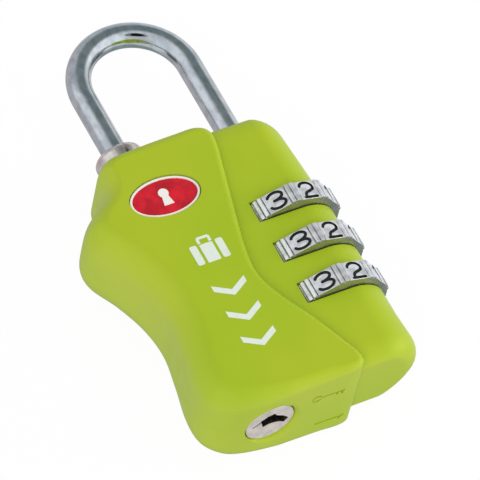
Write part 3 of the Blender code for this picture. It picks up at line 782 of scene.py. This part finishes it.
def build_collar(axis, nickel):
    """The slit ring round the short leg."""
    mouth_r, crown_r = COLLAR_SOCKET_R + COLLAR_MOUTH_ROUND, COLLAR_R - COLLAR_CROWN_ROUND
    profile = [(COLLAR_SOCKET_R, COLLAR_FLOOR_Z)]
    profile += fillet(COLLAR_MOUTH_ROUND, mouth_r, COLLAR_TOP_Z - COLLAR_MOUTH_ROUND, 180, 90, 4)
    profile += fillet(COLLAR_CROWN_ROUND, crown_r, COLLAR_TOP_Z - COLLAR_CROWN_ROUND, 90, 0, 10)
    profile += [(COLLAR_R, 41.0), (COLLAR_R, COLLAR_BOTTOM_Z)]
    collar = place("collar_ring", turned(profile, 96), axis)
    low = (COLLAR_SOCKET_R - 0.3, -SLIT_WIDTH / 2, SLIT_FLOOR_Z)
    slit = box(low, (COLLAR_R + THROUGH, SLIT_WIDTH / 2, COLLAR_TOP_Z + THROUGH))
    long, deep = BAR_SLOT
    slot = box((-long, -deep, COLLAR_BOTTOM_Z - THROUGH), (long, deep, BAR_SLOT_Z[1]))
    combine(collar, [place("slit", turned_about_z(slit, SLIT_TURN_DEG), axis), place("slot", slot, axis)])
    soften(collar, COLLAR_EDGE_ROUND)
    collar.data.materials.clear()
    collar.data.materials.append(nickel)
    steady_normals(collar)
    finish_piece(collar, "key_core", "core_nickel", "release_collar")


def build_plug(axis, nickel):
    """The plug with its keyway, and the slots for the wafers and the bar."""
    low, high = PLUG_GROOVE_Z
    steps = [(PLUG_R, PLUG_TOP_Z), (PLUG_R, high), (PLUG_GROOVE_R, high), (PLUG_GROOVE_R, low), (PLUG_R, low)]
    steps += fillet(PLUG_FACE_ROUND, PLUG_R - PLUG_FACE_ROUND, PLUG_FACE_Z + PLUG_FACE_ROUND, 0, -90, 4)
    plug = place("plug_body", turned(steps, 96), axis)
    keyway = place("keyway", prism(keyway_profile(), -THROUGH, KEYWAY_TOP_Z), axis)
    # The keyway's walls take the cutter's near-black material: painted shade.
    keyway.data.materials.append(keyway_shade_look())
    long, deep = BAR_SLOT
    bar_slot = box((-long, -deep, BAR_SLOT_Z[0]), (long, deep, PLUG_TOP_Z + THROUGH))
    cutters = [keyway, place("bar_slot", bar_slot, axis)]
    long, deep, high = WAFER_SLOT
    for number, z in enumerate(WAFER_Z, 1):
        slot = turned_about_z(box((-long, -deep, z - high), (long, deep, z + high)), KEYWAY_TURN_DEG)
        cutters.append(place(f"wafer_slot_{number}", slot, axis))
    plug.data.materials.append(nickel)
    combine(plug, cutters, materials="TRANSFER")
    steady_normals(plug)
    finish_piece(plug, "key_core", "core_nickel", "key_plug")


def keyway_profile():
    """A thick bent bar with a peak on its near side and a thin slit off one end, as (x, y) points."""
    near = [(-1.55, -1.2), (-0.65, -1.75), (0.35, -2.0), (0.75, -1.4), (1.8, -0.75), (2.7, 0.2)]
    far = [(2.1, 0.95), (1.5, 0.5), (0.7, 0.2), (-0.3, 0.15), (-1.05, 0.45)]
    slit = [(-1.42, -0.78), (-2.6, -0.1), (-2.68, -0.25), (-1.5, -0.98)]
    return near + far + slit


# ---------------------------------------------------------------- dials


def arc(x, y, rx, ry, start_deg, end_deg, steps=14):
    angles = [math.radians(start_deg + (end_deg - start_deg) * i / steps) for i in range(steps + 1)]
    return [(x + rx * math.cos(a), y + ry * math.sin(a)) for a in angles]


def digit_strokes():
    """Each digit's strokes as centre lines, in millimetres about the middle of its facet.

    A digit has up to two strokes, which may overlap each other.
    """
    w, h = DIGIT_HALF_WIDTH, DIGIT_HALF_HEIGHT
    r = h / 2
    six = (
        arc(0.12, 0.12, w + 0.02, h - 0.12, 70, 180) + arc(0, -0.36, w - 0.1, h - 0.36, 180, 360),
        arc(0, -0.36, w - 0.1, 0.62, 180, 0),
    )
    nine = tuple([(-x, -y) for x, y in stroke] for stroke in six)
    low = arc(0, -r, w, r, 90, -165, 18)
    return {
        0: (arc(0, 0, w - 0.06, h, 80, 280, 22), arc(0, 0, w - 0.06, h, -100, 100, 22)),
        1: ([(0.1, -h), (0.1, h)], [(0.1, h), (-0.45, 0.62)]),
        2: (
            arc(0, 0.42, w - 0.06, h - 0.42, 165, -30) + arc(0.35, -1.0, 0.95, 0.75, 100, 170, 6),
            [(-w + 0.24, -h), (w, -h)],
        ),
        3: (arc(0, r, w - 0.06, r, 160, -90, 18) + [(-0.3, 0.0)], low),
        4: ([(0.2, h), (-w, -0.35), (w, -0.35)], [(0.38, 0.3), (0.38, -h)]),
        5: (
            [(w - 0.1, h), (-w + 0.14, h), (-w + 0.08, 0.15)],
            [(-w + 0.08, 0.15)] + arc(0, -0.38, w, h - 0.38, 125, -150),
        ),
        6: six,
        7: ([(-w, h), (w - 0.03, h), (-0.15, -h)],),
        8: (
            arc(0, r, w - 0.1, r, 80, 270) + arc(0, -r, w, r, 90, -100),
            arc(0, r, w - 0.1, r, 100, -90) + arc(0, -r, w, r, 90, 280),
        ),
        9: nine,
    }


def stroke_outline(path, width):
    """The outline of a round-ended stroke along a path of (x, y) points."""
    points = [Vector(path[0])]
    for p in path[1:]:
        if (Vector(p) - points[-1]).length > 0.02:
            points.append(Vector(p))
    left, right = [], []
    last = len(points) - 1
    for i, p in enumerate(points):
        before = (p - points[max(i - 1, 0)]).normalized() if i else (points[1] - p).normalized()
        after = (points[min(i + 1, last)] - p).normalized() if i < last else before
        normal = Vector((-(before + after).y, (before + after).x)).normalized()
        miter = width / 2 / max(normal.dot(Vector((-after.y, after.x))), 0.5)
        left.append(p + normal * miter)
        right.append(p - normal * miter)

    def cap(centre, start, turns=6):
        arm = start - centre
        return [centre + Matrix.Rotation(-math.pi * i / turns, 2) @ arm for i in range(1, turns)]

    return left + cap(points[-1], left[-1]) + right[::-1] + cap(points[0], right[0])


def digit_cutter(layer):
    """All ten facets' strokes of one layer, standing out of the facets they cut."""
    bm = bmesh.new()
    strokes = digit_strokes()
    for facet in range(DIGITS):
        paths = strokes[-facet % DIGITS]
        if layer >= len(paths):
            continue
        angle = math.radians(360 / DIGITS * facet)
        out = Vector((math.cos(angle), math.sin(angle), 0))
        right = Vector((-math.sin(angle), math.cos(angle), 0))
        outline = stroke_outline(paths[layer], DIGIT_STROKE)
        rows = []
        for reach in (FACET_R - DIGIT_DEPTH, FACET_R + THROUGH):
            rows.append([bm.verts.new(out * reach + right * p.x + Vector((0, 0, p.y))) for p in outline])
        for i in range(len(outline)):
            after = (i + 1) % len(outline)
            bm.faces.new((rows[0][i], rows[0][after], rows[1][after], rows[1][i]))
        bm.faces.new(rows[0])
        bm.faces.new(rows[1])
    return bm


def dial_outline():
    """(angle in degrees, radius) round a dial: flat digit facets, with two ribs in each gap between."""
    groove = FACET_R - GROOVE_DEPTH
    edge = FACET_R / math.cos(math.radians(FACET_HALF_DEG))
    flat_deg = FACET_HALF_DEG - 0.6
    marks = [
        (flat_deg, FACET_R / math.cos(math.radians(flat_deg))),
        (FACET_HALF_DEG, edge - 0.035),
        (12.35, edge - 0.12),
        (12.6, groove + 0.03),
        (13.0, groove + 0.03),
        (13.2, RIB_R - 0.12),
        (13.5, RIB_R - 0.04),
        (14.0, RIB_R - 0.01),
        (15.3, RIB_R),
        (16.6, RIB_R - 0.01),
        (17.1, RIB_R - 0.04),
        (17.4, RIB_R - 0.12),
        (17.65, groove + 0.1),
    ]
    pitch = 360 / DIGITS
    sector = [(-flat_deg, marks[0][1])] + marks + [(pitch - a, r) for a, r in marks[:0:-1]]
    return [(pitch * facet + a, r) for facet in range(DIGITS) for a, r in sector]


def build_dials():
    """One wheel with cut digits, used for all three dials."""
    outline = [(math.radians(a), r) for a, r in dial_outline()]

    def ring(z, inset):
        return [((r - inset) * math.cos(a), (r - inset) * math.sin(a), z) for a, r in outline]

    bore = [(DIAL_BORE_R * math.cos(a), DIAL_BORE_R * math.sin(a)) for a, _ in outline]
    shoulder = 0.3 * DIAL_CHAMFER
    heights = [(DIAL_HALF, DIAL_CHAMFER), (DIAL_HALF - shoulder, shoulder), (DIAL_HALF - DIAL_CHAMFER, 0.0)]
    heights += [(-z, inset) for z, inset in reversed(heights)]
    rings = [[(x, y, DIAL_HALF) for x, y in bore]]
    rings += [ring(z, inset) for z, inset in heights]
    rings += [[(x, y, -DIAL_HALF) for x, y in bore]]
    wheel = place("dial_wheel", loft(rings, closed=True), smooth_deg=30)
    wheel.data.materials.append(silver_look())
    black = black_look()
    cutters = []
    for layer in (0, 1):
        cutter = place(f"digits_{layer}", digit_cutter(layer))
        cutter.data.materials.append(black)
        cutters.append(cutter)
    combine(wheel, cutters, materials="TRANSFER")
    wheel.data.set_sharp_from_angle(angle=math.radians(30))
    for name, z in DIAL_Z.items():
        dial = bpy.data.objects.new(f"dial_wheel_{name}", wheel.data)
        bpy.context.collection.objects.link(dial)
        dial.location = Vector((LEG_X, 0, z)) * MM
        steady_normals(dial)
        finish_piece(dial, f"dial_{name}", "dial_silver", f"dial_{name}")
    bpy.data.objects.remove(wheel)


# ---------------------------------------------------------------- badge and print


def flat_piece(name, outlines, depth, thickness, at, material):
    """Flat shapes in the front face's plane, from outlines of (x, z) points, as one piece."""
    front_y = depth - LOBE_HALF
    bm = bmesh.new()
    for outline in outlines:
        rows = [[bm.verts.new((x, y, z)) for x, z in outline] for y in (front_y, front_y + thickness)]
        for i in range(len(outline)):
            after = (i + 1) % len(outline)
            bm.faces.new((rows[0][i], rows[0][after], rows[1][after], rows[1][i]))
        bm.faces.new(rows[0])
        bm.faces.new(rows[1])
    piece = place(name, bm, (at[0], 0, at[1]))
    piece.data.materials.append(material)
    return piece


def rounded_box(low, high, radius, steps=5):
    """The outline of a rectangle with round corners."""
    corners = (
        (high[0] - radius, high[1] - radius, 0),
        (low[0] + radius, high[1] - radius, 90),
        (low[0] + radius, low[1] + radius, 180),
        (high[0] - radius, low[1] + radius, 270),
    )
    return [p for x, y, start in corners for p in arc(x, y, radius, radius, start, start + 90, steps)]


def build_badge():
    """A pale metal rim, a low dome of red enamel and a pale keyhole sign."""
    front, back = -LOBE_HALF + BADGE_FRONT_DEPTH, -LOBE_HALF + BADGE_BACK_DEPTH
    centre = (BADGE_X, 0, BADGE_Z)
    pale = pale_look("badge_pale", (0.82, 0.80, 0.74), 0.35)
    rounding = ((0.0, 0.08), (0.03, 0.02), (0.08, 0.0))  # in from an edge of the rim, back from its face
    section = [(0.0, back)] + [(inset, front + fall) for inset, fall in rounding]
    section += [(BADGE_RIM - inset, front + fall) for inset, fall in reversed(rounding)] + [(BADGE_RIM, back)]
    rim = place("badge_rim", loft([badge_oval(*step) for step in section], closed=True), centre)
    rim.data.materials.append(pale)
    finish_piece(rim, "housing", "badge_red", "badge")

    dome = [badge_oval(BADGE_RIM + 0.02, back)]
    for step in range(7):
        share = step / 6
        rise = BADGE_DOME * (1 - (1 - share) ** 2)
        dome.append(badge_oval(BADGE_RIM + 0.02 + share * 2.2, front + 0.14 - rise))
    enamel = place("badge_enamel", loft(dome), centre)
    enamel.data.materials.append(enamel_look())
    finish_piece(enamel, "housing", "badge_red")

    sign = arc(0, 0.55, 0.72, 0.72, -50, 230, 20) + [(-0.72, -1.35), (0.72, -1.35)]
    at = (BADGE_X, BADGE_Z)
    sign = flat_piece("badge_keyhole", [sign], BADGE_FRONT_DEPTH - 0.02, 0.12, at, pale)
    finish_piece(sign, "housing", "badge_red")


def build_print():
    """White print down the front face: a suitcase sign and a row of chevrons."""
    white = pale_look("print_white", (0.70, 0.77, 0.68), 0.45)
    handle = [(-1.0, 1.4), (-1.0, 2.2), (-0.75, 2.45), (0.75, 2.45), (1.0, 2.2), (1.0, 1.4)]
    handle += [(0.6, 1.4), (0.6, 2.05), (-0.6, 2.05), (-0.6, 1.4)]
    case = [
        rounded_box((-2.4, -1.7), (-1.35, 1.4), 0.3),
        rounded_box((-0.95, -1.7), (0.95, 1.25), 0.12),
        rounded_box((1.35, -1.7), (2.4, 1.4), 0.3),
        handle,
    ]
    at = (PRINT_X, SUITCASE_Z)
    sign = flat_piece("print_suitcase", case, -PRINT_RISE, PRINT_THICKNESS, at, white)
    finish_piece(sign, "housing", "green_shell")
    chevrons = []
    for row in range(3):
        z = -CHEVRON_PITCH * row
        chevrons.append([(-2.4, z), (-2.4, z - 0.95), (0, z - 2.35), (2.4, z - 0.95), (2.4, z), (0, z - 1.4)])
    at = (PRINT_X, CHEVRON_Z)
    marks = flat_piece("print_chevrons", chevrons, -PRINT_RISE, PRINT_THICKNESS, at, white)
    finish_piece(marks, "housing", "green_shell")


def dress_inside(nickel):
    """Give the pieces kept from the frame their metals."""
    steel = machined_look("inner_steel", (0.56, 0.57, 0.59), (0.40, 0.40, 0.41), 0.3, (1, 1, 8))
    brass = machined_look("sleeve_brass", (0.75, 0.56, 0.27), (0.58, 0.41, 0.18), 0.32, (6, 6, 0.6))
    slots = {row["node"]: row["material_slot"] for row in frame["record"]["subparts"]}
    metals = {"inner_steel": steel, "sleeve_brass": brass, "core_nickel": nickel}
    for node, obj in frame["nodes"].items():
        if obj.hide_render:
            continue
        obj.data.materials.clear()
        obj.data.materials.append(metals[slots[node]])


# ---------------------------------------------------------------- stage


def build_floor():
    """A pale floor that the lock lies on, back down. It isn't there for a camera behind it."""
    level = cad_box[1].y / MM + FLOOR_GAP
    bm = bmesh.new()
    corners = ((-1, -1), (1, -1), (1, 1), (-1, 1))
    bm.faces.new([bm.verts.new((x * FLOOR_HALF, level, z * FLOOR_HALF)) for x, z in corners])
    floor = place("floor", bm)
    material = bpy.data.materials.new("floor")
    material.use_nodes = True
    material.node_tree.nodes.clear()
    nodes = Nodes(material.node_tree)

    to_camera = {"convert_from": "WORLD", "convert_to": "CAMERA"}
    up = nodes.add("ShaderNodeVectorTransform", {0: (0, 1, 0)}, vector_type="VECTOR", **to_camera)
    here = nodes.add("ShaderNodeNewGeometry").outputs["Position"]
    spot = nodes.add("ShaderNodeVectorTransform", {0: here}, vector_type="POINT", **to_camera)
    in_front = nodes.maths("GREATER_THAN", nodes.dot(up.outputs[0], spot.outputs[0]))
    away = nodes.length(nodes.add("ShaderNodeTexCoord").outputs["Object"])
    solid = nodes.maths("MULTIPLY", in_front, nodes.span(away, *FLOOR_FADE, 1.0, 0.0))
    mirrored = nodes.add("ShaderNodeLightPath").outputs["Is Glossy Ray"]
    solid = nodes.maths("MULTIPLY", solid, nodes.maths("SUBTRACT", 1.0, mirrored))

    grain = nodes.add("ShaderNodeTexNoise", {"Scale": FLOOR_GRAIN}).outputs["Fac"]
    tone = nodes.add("ShaderNodeMapRange", {"Value": grain, "To Min": 0.86, "To Max": 0.9}).outputs[0]
    cloth = nodes.add("ShaderNodeBsdfDiffuse", {"Color": tone}).outputs[0]
    glow = nodes.add("ShaderNodeEmission", {"Strength": 1.0}).outputs[0]
    bright = nodes.add("ShaderNodeMixShader", {0: FLOOR_GLOW_SHARE, 1: cloth, 2: glow}).outputs[0]
    clear = nodes.add("ShaderNodeBsdfTransparent").outputs[0]
    choice = nodes.add("ShaderNodeMixShader", {0: solid, 1: clear, 2: bright}).outputs[0]
    nodes.add("ShaderNodeOutputMaterial", {"Surface": choice})
    floor.data.materials.append(material)


def build_world():
    """Even white light. The camera sees white, and polished metal sees pale and dark bands."""
    world = bpy.data.worlds.new("studio")
    bpy.context.scene.world = world
    world.use_nodes = True
    world.node_tree.nodes.clear()
    nodes = Nodes(world.node_tree)
    way = nodes.add("ShaderNodeTexCoord").outputs["Generated"]
    bands = SURROUNDINGS_BASE
    for azimuth, elevation, inner, outer, tone in SURROUNDINGS:
        near, far = math.cos(math.radians(inner)), math.cos(math.radians(outer))
        share = nodes.span(nodes.dot(way, way_to(azimuth, elevation)), far, near)
        bands = nodes.mix(share, bands, tone)
    path = nodes.add("ShaderNodeLightPath")
    even = nodes.mix(path.outputs["Is Glossy Ray"], (WORLD_STRENGTH,) * 3, bands)
    colour = nodes.mix(path.outputs["Is Camera Ray"], even, (1.0, 1.0, 1.0))
    background = nodes.add("ShaderNodeBackground", {"Color": colour}).outputs[0]
    nodes.add("ShaderNodeOutputWorld", {"Surface": background})


def way_to(azimuth, elevation):
    """The unit vector towards an azimuth from +X and an elevation, in degrees."""
    turn, rise = math.radians(azimuth), math.radians(elevation)
    return Vector((math.cos(turn) * math.cos(rise), math.sin(turn) * math.cos(rise), math.sin(rise)))


def add_light(name, place_at, size, power):
    """A round soft lamp that mirrors don't show."""
    data = bpy.data.lights.new(name, "AREA")
    data.shape = "DISK"
    data.size = size
    data.energy = power
    light = bpy.data.objects.new(name, data)
    bpy.context.collection.objects.link(light)
    light.location = place_at
    light.rotation_mode = "QUATERNION"
    light.rotation_quaternion = (Vector(LIGHT_TARGET) - Vector(place_at)).to_track_quat("-Z", "Y")
    light.visible_glossy = False
    light.visible_camera = False


def build_camera():
    """Below the bottom end and to the left, looking up at the front face."""
    up, back = [-d for d in CAMERA_DOWN], [-f for f in CAMERA_FORWARD]
    turn = Matrix((CAMERA_RIGHT, up, back)).transposed()
    data = bpy.data.cameras.new("camera")
    data.sensor_width = 36.0
    data.lens = CAMERA_LENS
    data.clip_start, data.clip_end = 0.01, 10.0
    camera = bpy.data.objects.new("camera", data)
    bpy.context.collection.objects.link(camera)
    camera.rotation_mode = "QUATERNION"
    camera.rotation_quaternion = turn.to_quaternion()
    camera.location = CAMERA_PLACE
    bpy.context.scene.camera = camera


nickel = nickel_look("core_nickel", 0.55, 0.36)
build_shells()
build_shackle()
build_collar((-LEG_X, 0, 0), nickel_look("collar_nickel", 0.92, 0.24))
build_plug((-LEG_X, 0, 0), nickel)
build_dials()
build_badge()
build_print()
dress_inside(nickel)
build_floor()
build_world()
add_light("key", *KEY_LIGHT)
add_light("fill", *FILL_LIGHT)
build_camera()
bpy.context.scene.view_settings.view_transform = "Standard"
